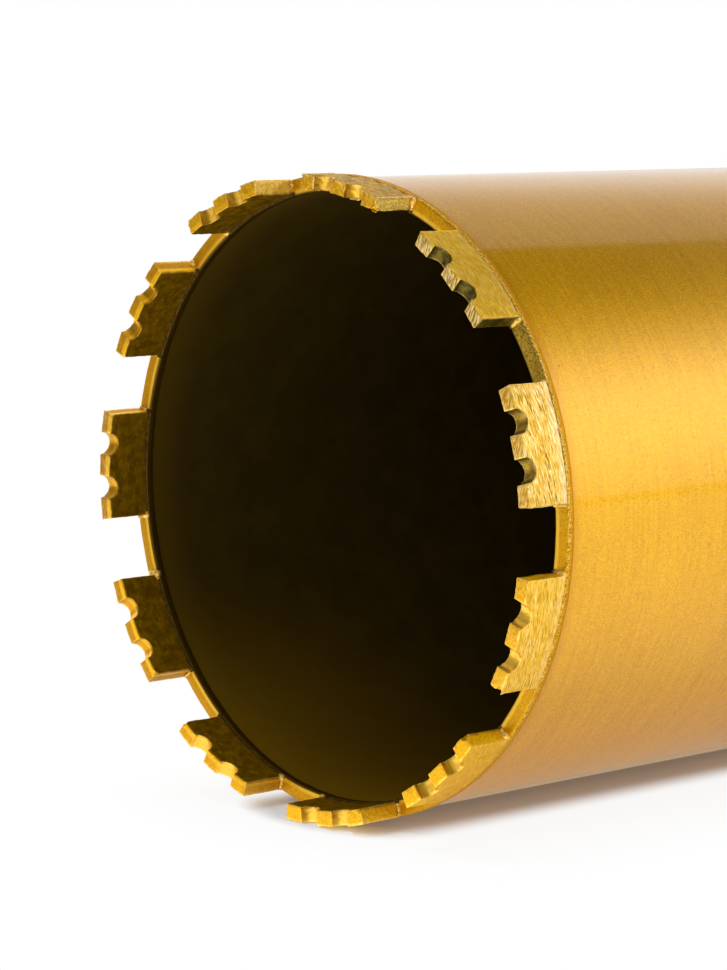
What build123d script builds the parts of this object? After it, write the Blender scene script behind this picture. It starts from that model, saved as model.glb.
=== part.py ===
from build123d import *

import os
from math import asin, cos, degrees, radians, sin, tan

# Diamond core bit, lying on its side. A steel barrel carries a crown ring with diamond segments at
# its open cutting end, and a plate with a threaded spindle hub closes the other end.
# The cutting end points along -X, the hub along +X and +Z is up. The origin is on the ground under
# the barrel's axis, halfway along the bit. All sizes are millimetres, and all angles are degrees.

# Diamond segments
crown_diameter = 132.0  # over the segments, which sets the diameter of the hole that is cut
segment_count = 11
segment_length = 24.0  # along the chord of its outer face
segment_thickness = 3.5
segment_height = 10.0
first_segment_angle = 10.0  # from straight up, clockwise as seen from the cutting end
groove_radius = 2.3  # half-round grooves that run across each cutting face
groove_spacing = 9.4

# Crown ring
ring_step = 0.2  # how far the ring's side stands back from the segments
ring_wall = 3.6
ring_length = 2.0
ring_edge = 0.4  # broken edges of the end face

# Barrel
barrel_step = 1.0  # how far the barrel's side stands back from the segments, for cutting clearance
barrel_wall = 2.5
barrel_length = 441.0
barrel_edge = 0.5  # broken outer edge at the back

# Back plate
plate_thickness = 8.0
plate_clearance = 0.1  # between the plate's rim and the barrel's inside
plate_weld_bevel = 2.0
plate_inset = 0.5  # how far the plate's face lies inside the barrel's end

# Spindle hub, for a 1 1/4 in - 7 UNC drill spindle
thread_diameter = 31.75
tapped_diameter = 28.2  # the hole as drilled for that thread
spigot_diameter = 38.0
spigot_clearance = 0.1
collar_diameter = 54.0
collar_length = 7.0
collar_edge = 1.0
hex_sides = 6
hex_across_flats = 41.0
hex_length = 26.0
hex_crown_angle = 30.0

# Welds
braze_leg = 1.1  # fillet of braze at each end of a segment's foot
braze_bead_leg = 0.9  # bead of braze along a segment's inner seam
braze_bead_height = 0.4
ring_weld_leg = 0.5
hub_weld_leg = 4.0
rear_weld_crown = 0.6  # how far the closing weld stands above its groove

# Radii and places worked out from the sizes above
crown_radius = crown_diameter / 2
segment_inner_radius = crown_radius - segment_thickness
segment_half_angle = degrees(asin(segment_length / crown_diameter))
ring_radius = crown_radius - ring_step
ring_inner_radius = ring_radius - ring_wall
barrel_radius = crown_radius - barrel_step
bore_radius = barrel_radius - barrel_wall
tapped_radius = tapped_diameter / 2
thread_lead_in = (thread_diameter - tapped_diameter) / 2
collar_radius = collar_diameter / 2
hex_half = hex_across_flats / 2
hex_corner_radius = hex_half / cos(radians(180 / hex_sides))
hex_crown_depth = (hex_corner_radius - hex_half) * tan(radians(hex_crown_angle))
plate_radius = bore_radius - plate_clearance
hub_hole_radius = spigot_diameter / 2 + spigot_clearance

overall_length = (
    segment_height + ring_length + barrel_length - plate_inset + collar_length + hex_length
)
axis_height = crown_radius
tip_x = -overall_length / 2
ring_front_x = tip_x + segment_height
barrel_front_x = ring_front_x + ring_length
barrel_back_x = barrel_front_x + barrel_length
plate_back_x = barrel_back_x - plate_inset
plate_front_x = plate_back_x - plate_thickness
collar_back_x = plate_back_x + collar_length
hub_back_x = collar_back_x + hex_length

axis = Axis((0, 0, axis_height), (1, 0, 0))
ahead = Vector(-1, 0, 0)  # the way the cutting end points


def across(x):
    """The plane across the axis at x, with its local x along Y and its local y up."""
    return Plane(origin=(x, 0, axis_height), x_dir=(0, 1, 0), z_dir=(1, 0, 0))


def outward(angle):
    """The direction out of the axis at this angle from straight up."""
    return Vector(0, -sin(radians(angle)), cos(radians(angle)))


def lengthwise(angle):
    """The plane through the axis at this angle: local x along the bit, local y the radius."""
    return Plane(origin=(0, 0, axis_height), x_dir=-ahead, z_dir=outward(angle).cross(ahead))


def crown_plane(angle):
    """The ring's end face: local y out at this angle, and the normal towards the cutting end."""
    return Plane(
        origin=(ring_front_x, 0, axis_height), x_dir=outward(angle).cross(ahead), z_dir=ahead
    )


def radial_plane(angle, x):
    """A plane through the axis at x and square to this direction out, its local y to the cutting end."""
    return Plane(
        origin=(x, 0, axis_height), x_dir=ahead.cross(outward(angle)), z_dir=outward(angle)
    )


def turned(*points):
    """A solid turned about the bit's axis, from the (x, radius) corners of its section."""
    with BuildPart() as body:
        with BuildSketch(lengthwise(0)):
            with BuildLine():
                Polyline(*points, close=True)
            make_face()
        revolve(axis=axis)
    return body


def segment(angle):
    """A diamond segment: an arc-shaped block with two half-round grooves across its cutting face."""
    start = 90 - segment_half_angle
    with BuildPart() as block:
        with BuildSketch(crown_plane(angle)):
            with BuildLine():
                outer = CenterArc((0, 0), crown_radius, start, 2 * segment_half_angle)
                inner = CenterArc((0, 0), segment_inner_radius, start, 2 * segment_half_angle)
                Line(outer @ 0, inner @ 0)
                Line(outer @ 1, inner @ 1)
            make_face()
        extrude(amount=segment_height)
        with BuildSketch(radial_plane(angle, tip_x)):
            with GridLocations(groove_spacing, 0, 2, 1):
                Circle(groove_radius)
        extrude(amount=crown_diameter, mode=Mode.SUBTRACT)
    return block


def segment_braze(angle, block, ring):
    """The braze round a segment's foot: a bead along its inner seam and a fillet at each end."""
    end_angle = segment_half_angle + degrees(braze_leg / crown_radius)
    with BuildPart() as braze:
        with BuildSketch(lengthwise(angle - end_angle)):
            with BuildLine():
                Polyline(
                    (ring_front_x + braze_bead_leg, ring_inner_radius),
                    (ring_front_x, ring_inner_radius - braze_bead_height),
                    (ring_front_x - braze_bead_leg, segment_inner_radius),
                    (ring_front_x, segment_inner_radius + braze_bead_leg),
                    close=True,
                )
            make_face()
        revolve(axis=axis, revolution_arc=2 * end_angle)
        for side in (-1, 1):
            end = radial_plane(angle + side * segment_half_angle, ring_front_x)
            with BuildSketch(end.offset(ring_inner_radius + ring_edge)):
                with BuildLine():
                    Polyline((-braze_leg, 0), (braze_leg, 0), (0, braze_leg), close=True)
                make_face()
            extrude(amount=ring_wall - 2 * ring_edge)
        add(block.part, mode=Mode.SUBTRACT)
        add(ring.part, mode=Mode.SUBTRACT)
    return braze


def crown_ring():
    """The carrier ring that the segments are brazed to, with broken edges on its end face."""
    with BuildPart() as ring:
        add(
            turned(
                (ring_front_x, ring_inner_radius),
                (ring_front_x, ring_radius),
                (barrel_front_x, ring_radius),
                (barrel_front_x, ring_inner_radius),
            ).part
        )
        front_edges = ring.edges().group_by(Axis.X)[0]
        chamfer(front_edges, ring_edge)
    return ring


def ring_weld():
    """The fillet between the ring's back and the thinner barrel."""
    return turned(
        (barrel_front_x, barrel_radius),
        (barrel_front_x, barrel_radius + ring_weld_leg),
        (barrel_front_x + ring_weld_leg, barrel_radius),
    )


def barrel():
    """The steel tube, with the outer edge of its back end broken."""
    return turned(
        (barrel_front_x, bore_radius),
        (barrel_front_x, barrel_radius),
        (barrel_back_x - barrel_edge, barrel_radius),
        (barrel_back_x, barrel_radius - barrel_edge),
        (barrel_back_x, bore_radius),
    )


def back_plate():
    """The disc that closes the barrel, bevelled for its weld and bored for the hub's spigot."""
    return turned(
        (plate_front_x, hub_hole_radius),
        (plate_front_x, plate_radius),
        (plate_back_x - plate_weld_bevel, plate_radius),
        (plate_back_x, plate_radius - plate_weld_bevel),
        (plate_back_x, hub_hole_radius),
    )


def rear_weld():
    """The weld that fills the groove between the plate's bevel and the barrel, slightly crowned."""
    groove_root = plate_back_x - plate_weld_bevel
    plate_lip_radius = plate_radius - plate_weld_bevel
    return turned(
        (plate_back_x, bore_radius),
        (groove_root, bore_radius),
        (groove_root, plate_radius),
        (plate_back_x, plate_lip_radius),
        (plate_back_x + rear_weld_crown, (plate_lip_radius + bore_radius) / 2),
    )


def spindle_hub():
    """The hub: a spigot through the plate, a round collar and a hexagon, tapped right through."""
    with BuildPart() as hub:
        with BuildSketch(across(collar_back_x)):
            RegularPolygon(hex_half, hex_sides, major_radius=False)
        extrude(amount=hex_length)
        hex_crown = turned(
            (collar_back_x, 0),
            (collar_back_x, hex_corner_radius),
            (hub_back_x - hex_crown_depth, hex_corner_radius),
            (hub_back_x, hex_half),
            (hub_back_x, 0),
        )
        add(hex_crown.part, mode=Mode.INTERSECT)
        spigot_and_collar = turned(
            (plate_front_x, 0),
            (plate_front_x, spigot_diameter / 2),
            (plate_back_x, spigot_diameter / 2),
            (plate_back_x, collar_radius),
            (collar_back_x - collar_edge, collar_radius),
            (collar_back_x, collar_radius - collar_edge),
            (collar_back_x, 0),
        )
        add(spigot_and_collar.part)
        tapped_hole = turned(
            (plate_front_x, 0),
            (plate_front_x, tapped_radius),
            (hub_back_x - thread_lead_in, tapped_radius),
            (hub_back_x, tapped_radius + thread_lead_in),
            (hub_back_x, 0),
        )
        add(tapped_hole.part, mode=Mode.SUBTRACT)
    return hub


def hub_weld():
    """The fillet between the plate and the hub's collar."""
    return turned(
        (plate_back_x, collar_radius),
        (plate_back_x, collar_radius + hub_weld_leg),
        (plate_back_x + hub_weld_leg, collar_radius),
    )


def save(piece, name):
    piece.part.label = name
    export_step(piece.part, f"parts/{name}.step")


def main():
    os.makedirs("parts", exist_ok=True)
    ring = crown_ring()
    save(ring, "crown_ring")
    for index in range(segment_count):
        angle = first_segment_angle + index * 360 / segment_count
        block = segment(angle)
        save(block, f"segment_{index + 1:02d}")
        save(segment_braze(angle, block, ring), f"segment_braze_{index + 1:02d}")
    save(ring_weld(), "ring_weld")
    save(barrel(), "barrel")
    save(back_plate(), "back_plate")
    save(rear_weld(), "rear_weld")
    save(spindle_hub(), "spindle_hub")
    save(hub_weld(), "hub_weld")


main()
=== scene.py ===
import math
import random

import bpy
import numpy as np
from bpy.props import FloatProperty, FloatVectorProperty, IntProperty, PointerProperty
from mathutils import Matrix, Vector, noise


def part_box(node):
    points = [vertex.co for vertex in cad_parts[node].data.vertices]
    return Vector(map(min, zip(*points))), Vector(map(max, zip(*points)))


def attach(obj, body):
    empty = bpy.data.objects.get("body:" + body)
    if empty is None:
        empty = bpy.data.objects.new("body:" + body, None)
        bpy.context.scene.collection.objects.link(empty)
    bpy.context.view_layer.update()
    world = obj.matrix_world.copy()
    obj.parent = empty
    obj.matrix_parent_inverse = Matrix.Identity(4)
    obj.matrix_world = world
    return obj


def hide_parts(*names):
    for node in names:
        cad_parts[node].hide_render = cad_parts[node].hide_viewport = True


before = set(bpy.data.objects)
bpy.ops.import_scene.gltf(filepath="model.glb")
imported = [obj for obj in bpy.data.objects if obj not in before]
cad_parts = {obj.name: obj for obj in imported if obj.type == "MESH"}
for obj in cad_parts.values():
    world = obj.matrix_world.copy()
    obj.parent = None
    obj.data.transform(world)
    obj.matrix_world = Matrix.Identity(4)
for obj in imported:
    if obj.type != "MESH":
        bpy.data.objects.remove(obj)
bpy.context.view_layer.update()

bl_info = {
    "name": "Diamond Core Bit",
    "version": (1, 0, 0),
    "blender": (4, 5, 0),
    "location": "3D View > Sidebar > Core Bit",
    "description": "Models and finishes a painted diamond core bit around its packed solids",
    "category": "Add Mesh",
}

MM = 0.001

# The bit lies along X, its cutting end towards -X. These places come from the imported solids.
TIP_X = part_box("segment_01")[0].x
RING_FRONT_X, RING_BACK_X = (corner.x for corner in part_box("crown_ring"))
BARREL_FRONT_X, BARREL_BACK_X = (corner.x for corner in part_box("barrel"))
PLATE_FRONT_X, PLATE_BACK_X = (corner.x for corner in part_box("back_plate"))
REAR_WELD_BACK_X, HUB_BACK_X, HUB_WELD_BACK_X = (
    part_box(node)[1].x for node in ("rear_weld", "spindle_hub", "hub_weld")
)
AXIS_HEIGHT = sum(corner.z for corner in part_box("barrel")) / 2
# The same places along the bit in millimetres, for its finishes.
TIP, RING_FRONT, RING_BACK = TIP_X / MM, RING_FRONT_X / MM, RING_BACK_X / MM
BARREL_FRONT, PLATE_BACK, HUB_BACK = BARREL_FRONT_X / MM, PLATE_BACK_X / MM, HUB_BACK_X / MM
SEGMENT_NODES = sorted(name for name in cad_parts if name.startswith("segment_") and "braze" not in name)
BRAZE_NODES = sorted(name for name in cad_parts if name.startswith("segment_braze"))
PITCH = math.tau / len(SEGMENT_NODES)

# Edges sharper than this angle stay sharp, and points closer than this distance count as one place.
SMOOTH_BELOW = math.radians(32)
SAME_PLACE = 0.02 * MM
# How far one solid reaches into another, so that they join with no gap between.
LET_IN = 0.25 * MM
OVERRUN = 1 * MM
# How many drops of braze run up each end of a segment, and along its foot inside the ring.
END_DROPS = 9
BORE_DROPS = 38
BRAZE_DETAIL = 0.2 * MM
# How near a groove, an edge or an end face a segment's points are counted as on it.
GROOVE_REACH, EDGE_REACH, END_REACH = 0.25 * MM, 0.42 * MM, 0.3 * MM
HUB_SIDES = 120
INCH = 25.4 * MM
FLOOR_SIZE = 12


def length(name, description, millimetres):
    return FloatProperty(name=name, description=description, default=millimetres * MM, unit="LENGTH")


def power(name, description, watts):
    return FloatProperty(name=name, description=description, default=watts, unit="POWER")


def amount(name, description, value):
    return FloatProperty(name=name, description=description, default=value)


def tint(name, description, colour):
    return FloatVectorProperty(
        name=name, description=description, subtype="COLOR", size=3, default=colour, min=0, max=1
    )


class BarrelSettings(bpy.types.PropertyGroup):
    diameter: length("Diameter", "Outside diameter of the barrel", 130)
    wall: length("Wall", "Thickness of the barrel's wall", 2.5)
    back_edge: length("Back edge", "Broken outer edge at the back", 0.5)
    paint: tint("Paint", "Gold of the barrel's paint", (1.0, 0.535, 0.003))
    paint_dark: tint("Paint in the grain", "Darker gold between the flakes", (0.60, 0.275, 0.0))
    # Dark steel inside the barrel, partly painted shade.
    inside: tint("Inside", "Dark steel inside the barrel", (0.058, 0.034, 0.002))
    # The lighter band at the mouth is overspray and painted light.
    overspray: length("Overspray", "How far the paint reaches into the mouth", 9)


class CrownSettings(bpy.types.PropertyGroup):
    diameter: length("Diameter", "Diameter over the segments", 132)
    first_angle: FloatProperty(
        name="First segment", description="Its angle from straight up, clockwise from the cutting end",
        default=math.radians(10), unit="ROTATION",
    )
    segment_length: length("Segment length", "Along the chord of the outer face", 24)
    segment_thickness: length("Segment thickness", "Across the radius", 3.5)
    groove_radius: length("Groove radius", "Half-round grooves across the cutting face", 2.3)
    groove_spacing: length("Groove spacing", "Between the two grooves", 9.4)
    ring_diameter: length("Ring diameter", "Outside diameter of the carrier ring", 131.6)
    ring_wall: length("Ring wall", "Thickness of the ring", 3.6)
    ring_edge: length("Ring edge", "Rounding of the ring's end face", 0.45)
    seam: length("Seam", "Leg of the fillet behind the ring", 0.5)
    edge_wear: length("Edge wear", "Rounding of the segments' edges", 0.16)
    pitting: length("Pitting", "Depth of the uneven ground surface", 0.11)
    voxel: length("Detail", "Size of the smallest modelled facet", 0.26)
    bead: length("Braze bead", "Radius of the braze at a segment's foot", 0.55)
    metal: tint("Segment gold", "Gold of the ground segments", (0.80, 0.47, 0.06))
    metal_bright: tint("Bright scratches", "Cream of the rubbed ridges", (1.0, 0.88, 0.55))
    metal_dark: tint("Pits", "Brown of the pits and grooves", (0.14, 0.07, 0.006))
    ring_face: tint("Ring face", "Dull olive gold of the ring's end face", (0.52, 0.33, 0.03))


class BackSettings(bpy.types.PropertyGroup):
    weld_bevel: length("Weld bevel", "Bevel of the plate's rim", 2)
    rim_gap: length("Rim gap", "Between the plate and the barrel", 0.1)
    spigot_diameter: length("Spigot diameter", "Part of the hub inside the plate", 38)
    collar_diameter: length("Collar diameter", "Round collar of the hub", 54)
    collar_length: length("Collar length", "Along the axis", 7)
    across_flats: length("Across flats", "Of the hub's hexagon", 41)
    thread_diameter: length("Thread diameter", "Major diameter of the spindle thread", 31.75)
    tapped_diameter: length("Tapped diameter", "The hole as drilled for the thread", 28.2)
    threads_per_inch: IntProperty(name="Threads per inch", description="Of the spindle thread", default=7)
    steel: tint("Bare steel", "Of the thread", (0.42, 0.40, 0.37))


class StageSettings(bpy.types.PropertyGroup):
    floor: tint("Floor", "Pale floor", (0.86, 0.855, 0.85))
    floor_glow: amount("Floor glow", "White that the floor adds to what the camera sees", 0.07)
    key_power: power("Key power", "Large soft light at the right", 12.0)
    front_power: power("Front power", "Soft light at the cutting end", 6.0)
    top_power: power("Top power", "Soft light from above", 22.0)
    fill: amount("Fill", "Even light from all round", 0.27)
    ceiling: amount("Ceiling", "How bright the surroundings are overhead", 0.06)
    backdrop: amount("Backdrop", "How bright its curve above the bit is", 0.62)
    left: amount("Left side", "How bright the surroundings are ahead of the cutting end", 0.3)
    glow: amount("Glow", "Extra brightness at the right, beside the camera", 0.8)
    lens: amount("Lens", "Focal length in millimetres", 125.05)
    camera_place: FloatVectorProperty(
        name="Camera", description="Where the camera stands", subtype="TRANSLATION", unit="LENGTH", size=3,
        default=(-0.68487, -0.50858, 0.14982),
    )
    camera_way: FloatVectorProperty(
        name="Camera aim", description="Which way it looks", subtype="DIRECTION", size=3,
        default=(0.6657, 0.7368, -0.1184),
    )


class Channel:
    """A socket of a finish. Python's operators on it add the Math nodes that work them out."""

    def __init__(self, finish, socket):
        self.finish = finish
        self.socket = socket

    def math(self, operation, *values):
        return self.finish.node("ShaderNodeMath", {"operation": operation}, *values)

    def __add__(self, other):
        return self.math("ADD", self, other)

    def __radd__(self, other):
        return self.math("ADD", other, self)

    def __sub__(self, other):
        return self.math("SUBTRACT", self, other)

    def __rsub__(self, other):
        return self.math("SUBTRACT", other, self)

    def __mul__(self, other):
        return self.math("MULTIPLY", self, other)

    def __rmul__(self, other):
        return self.math("MULTIPLY", other, self)

    def root(self):
        return self.math("SQRT", self)

    def above_zero(self):
        return self.math("MAXIMUM", self, 0.0)

    def band(self, low, high):
        """0 below low and 1 above high, or the other way round where low is the larger, with a soft step."""
        settings = {"interpolation_type": "SMOOTHSTEP"}
        if low < high:
            return self.finish.node("ShaderNodeMapRange", settings, self, low, high, 0.0, 1.0)
        return self.finish.node("ShaderNodeMapRange", settings, self, high, low, 1.0, 0.0)


class Recipe:
    """The nodes of a material or of the world, built up from an empty tree."""

    def __init__(self, owner, output):
        owner.use_nodes = True
        self.tree = owner.node_tree
        self.tree.nodes.clear()
        self.output = self.tree.nodes.new(output)

    def node(self, kind, settings=None, *values, output=0, **named):
        """Adds a node: its settings first, then values or links for its sockets in order or by name."""
        made = self.tree.nodes.new(kind)
        for key, value in (settings or {}).items():
            if key == "stops":
                while len(made.color_ramp.elements) < len(value):
                    made.color_ramp.elements.new(0.5)
                for stop, (position, colour) in zip(made.color_ramp.elements, value):
                    stop.position, stop.color = position, (*colour, 1)
            else:
                setattr(made, key, value)
        for index, value in enumerate(values):
            self.feed(made.inputs[index], value)
        for key, value in named.items():
            self.feed(made.inputs[key.replace("_", " ")], value)
        return Channel(self, made.outputs[output])

    def feed(self, socket, value):
        if isinstance(value, Channel):
            self.tree.links.new(value.socket, socket)
        elif socket.type == "RGBA" and len(value) == 3:
            socket.default_value = (*value, 1)
        else:
            socket.default_value = value

    def parts(self, vector):
        """The x, y and z of a vector."""
        return [self.node("ShaderNodeSeparateXYZ", None, vector, output=index) for index in range(3)]

    def mix(self, share, first, second):
        """A colour between two others."""
        made = self.tree.nodes.new("ShaderNodeMix")
        made.data_type = "RGBA"
        sockets = {socket.identifier: socket for socket in made.inputs}
        for key, value in (("Factor_Float", share), ("A_Color", first), ("B_Color", second)):
            self.feed(sockets[key], value)
        return Channel(self, next(s for s in made.outputs if s.identifier == "Result_Color"))

    def layered(self, colour, *layers):
        """A colour with others laid over it in turn, each given as its share and the colour itself."""
        for share, layer in layers:
            colour = self.mix(share, colour, layer)
        return colour

    def seen(self):
        """1 for the rays that show the background: from the camera, from gloss and through glass."""
        camera, glossy, through, matt = (
            self.node("ShaderNodeLightPath", output=kind)
            for kind in ("Is Camera Ray", "Is Glossy Ray", "Is Transmission Ray", "Diffuse Depth")
        )
        return (camera + glossy + through - matt * 0.5).band(0.2, 0.8)

    def surface_from(self, shader):
        self.tree.links.new(shader.socket, self.output.inputs["Surface"])


class Finish(Recipe):
    """A material for this bit. Its places are millimetres from the bit's axis, with x along it."""

    def __init__(self, name):
        self.material = bpy.data.materials.new(name)
        super().__init__(self.material, "ShaderNodeOutputMaterial")
        object_place = self.node("ShaderNodeTexCoord", output="Object")
        self.place = self.node(
            "ShaderNodeMapping", Vector=object_place, Location=(0, 0, -AXIS_HEIGHT / MM), Scale=(1 / MM,) * 3
        )
        self.x, self.y, self.z = self.parts(self.place)
        self.radius = (self.y * self.y + self.z * self.z).root()

    def attribute(self, name):
        """A value that was noted for each of a piece's points."""
        return self.node("ShaderNodeAttribute", {"attribute_name": name}, output="Fac")

    def noise(self, scale, detail=2.0, roughness=0.5, distortion=0.0, vector=None):
        return self.node(
            "ShaderNodeTexNoise", None, Vector=vector or self.place, Scale=scale, Detail=detail,
            Roughness=roughness, Distortion=distortion,
        )

    def streaks(self, along, across, detail, roughness, slant=0.0, distortion=0.0):
        """Noise drawn out round the axis, with this many grains to a millimetre along it and across it."""
        drawn_out = self.node(
            "ShaderNodeCombineXYZ", None, (self.x + self.z * slant) * along, self.y * across, self.z * across
        )
        return self.noise(1.0, detail, roughness, distortion, drawn_out)

    def cells(self, scale, output="Distance"):
        return self.node("ShaderNodeTexVoronoi", None, Vector=self.place, Scale=scale, output=output)

    def bump(self, height, depth):
        """A normal raised by height, times this depth in millimetres."""
        return self.node("ShaderNodeBump", None, Height=height, Distance=depth * MM, Strength=1.0)

    def surface(self, colour, roughness, metallic, normal, coat=0.0, coat_roughness=0.2, rim=(1, 1, 1)):
        self.surface_from(self.node(
            "ShaderNodeBsdfPrincipled", None, Base_Color=colour, Roughness=roughness, Metallic=metallic,
            Normal=normal, Coat_Weight=coat, Coat_Roughness=coat_roughness, Specular_Tint=rim,
        ))
        return self.material


def gold_paint(settings):
    """Metallic gold paint with a fine grain and faint turning marks, and dark steel inside the barrel, with
    painted shade deep in it and painted light at its mouth.
    """
    paint = Finish("gold_paint")
    grain = paint.noise(3.8, 2.0, 0.6)
    brushed = paint.streaks(1.3, 0.05, 4.0, 0.65)
    flake = paint.node("ShaderNodeSeparateColor", None, paint.cells(3.4, output="Color"))
    cloudy = paint.noise(0.03)
    tone = grain.band(0.38, 0.60) * 0.52 + flake * 0.20 + brushed.band(0.3, 0.7) * 0.22
    tone = tone + cloudy.band(0.3, 0.7) * 0.08
    speck_size = paint.noise(0.05, 1.0).band(0.45, 0.8) * 0.10
    speck = (paint.cells(0.30) - speck_size).band(0.015, -0.01)
    behind_ring = paint.x.band(RING_BACK + 3.2, RING_BACK + 0.2)

    # Inside the barrel: dark steel, painted darker as shade deep in the bore.
    depth = paint.x - BARREL_FRONT
    scale_marks = paint.streaks(0.10, 0.10, 5.0, 0.6)
    # Lighter near the mouth, as overspray and as painted light falling in.
    overspray_and_mouth_light = (depth + scale_marks * 8.0).band(settings.overspray / MM + 6.0, 2.0)
    # Lighter at the bottom of the mouth: a painted pool of light.
    low = paint.z.band(-20.0, -60.0) * depth.band(80.0, 10.0)
    steel = paint.layered(
        paint.mix(scale_marks.band(0.35, 0.7), settings.inside, (0.080, 0.050, 0.003)),
        (overspray_and_mouth_light * 0.5, (0.16, 0.092, 0.003)),
        (low * 0.8, (0.26, 0.14, 0.003)),
    )
    inner_radius = (settings.diameter / 2 - settings.wall) / MM
    inside = paint.radius.band(inner_radius + 0.5, inner_radius + 0.1)
    colour = paint.layered(
        paint.mix(tone, settings.paint_dark, settings.paint),
        (flake.band(0.93, 0.97) * 0.18, (1.0, 0.80, 0.22)),
        (speck * 0.6, (0.20, 0.10, 0.01)),
        (behind_ring * 0.7, (0.66, 0.29, 0.0)),
        (inside, steel),
    )
    return paint.surface(
        colour,
        (0.38 + grain * 0.08) * (1 - inside) + (0.62 - scale_marks * 0.12) * inside,
        1 - inside * 0.5,
        paint.bump(grain * 0.7 + brushed * 0.3, 0.08),
        coat=0.9 - inside * 0.85,
        coat_roughness=0.09,
        rim=(1.0, 0.8, 0.45),
    )


def ring_paint(settings):
    """Gold paint on the carrier ring: olive and sandy on its end face, with painted highlights along its
    edges and painted shade on its left and in its bore.
    """
    paint = Finish("ring_paint")
    sand = paint.noise(2.4, 4.0, 0.75)
    blotch = paint.noise(0.35, 3.0, 0.6)
    turning = paint.streaks(3.0, 0.06, 3.0, 0.6)
    outer = settings.ring_diameter / MM / 2
    inner = outer - settings.ring_wall / MM
    drift = blotch - 0.5
    gold = paint.mix(sand.band(0.3, 0.7), (0.50, 0.24, 0.0), (0.80, 0.42, 0.003))
    olive = paint.mix(sand.band(0.38, 0.62), (0.16, 0.09, 0.008), settings.ring_face)
    olive = paint.mix(blotch.band(0.55, 0.7) * 0.5, olive, (0.66, 0.38, 0.04))
    # An olive patch on the end face, on the -Y side above the axis.
    olive_patch = (paint.y + drift * 30.0).band(-26.0, -44.0) * (paint.z + drift * 24.0).band(2.0, 14.0)
    face = paint.x.band(RING_FRONT + 0.75, RING_FRONT + 0.35)
    # Where the painted highlight along the outer edge of the end face goes.
    ridge = paint.x.band(RING_FRONT + 0.15, RING_FRONT + 0.45) * paint.radius.band(outer - 0.5, outer - 0.3)
    ridge = ridge * paint.x.band(RING_FRONT + 1.05, RING_FRONT + 0.7)
    side = paint.radius.band(outer - 0.6, outer - 0.3)
    seam = paint.x.band(RING_BACK - 0.9, RING_BACK - 0.3) * side * paint.z.band(-52.0, -18.0)
    # Where the painted highlight along the inner edge of the end face goes.
    lip = face * paint.radius.band(inner + 1.5, inner + 1.0)
    colour = paint.layered(
        gold,
        (face, paint.mix(olive_patch, gold, olive)),
        # a painted highlight along the outer edge of the end face
        (ridge * sand.band(0.48, 0.60) * 0.6, (0.95, 0.76, 0.38)),
        (side * sand.band(0.46, 0.36) * paint.z.band(-50.0, -10.0) * 0.8, (0.20, 0.09, 0.004)),
        (seam * 0.8, (0.52, 0.22, 0.003)),
        # painted shade on the left half of the end face
        (face * paint.y.band(20.0, 50.0) * 0.6, (0.42, 0.20, 0.0)),
        # a painted highlight along the inner edge of the end face
        (lip * (1 - olive_patch) * 0.6, (0.98, 0.62, 0.06)),
        # painted shade on the ring's bore
        (paint.radius.band(inner + 0.6, inner + 0.3) * 0.93, (0.06, 0.03, 0.001)),
    )
    return paint.surface(
        colour, 0.46 + sand * 0.16, 0.82, paint.bump(sand * 0.6 + turning * 0.5 + blotch * 0.8, 0.09),
        coat=0.1, coat_roughness=0.3, rim=(1.0, 0.72, 0.3),
    )


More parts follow.
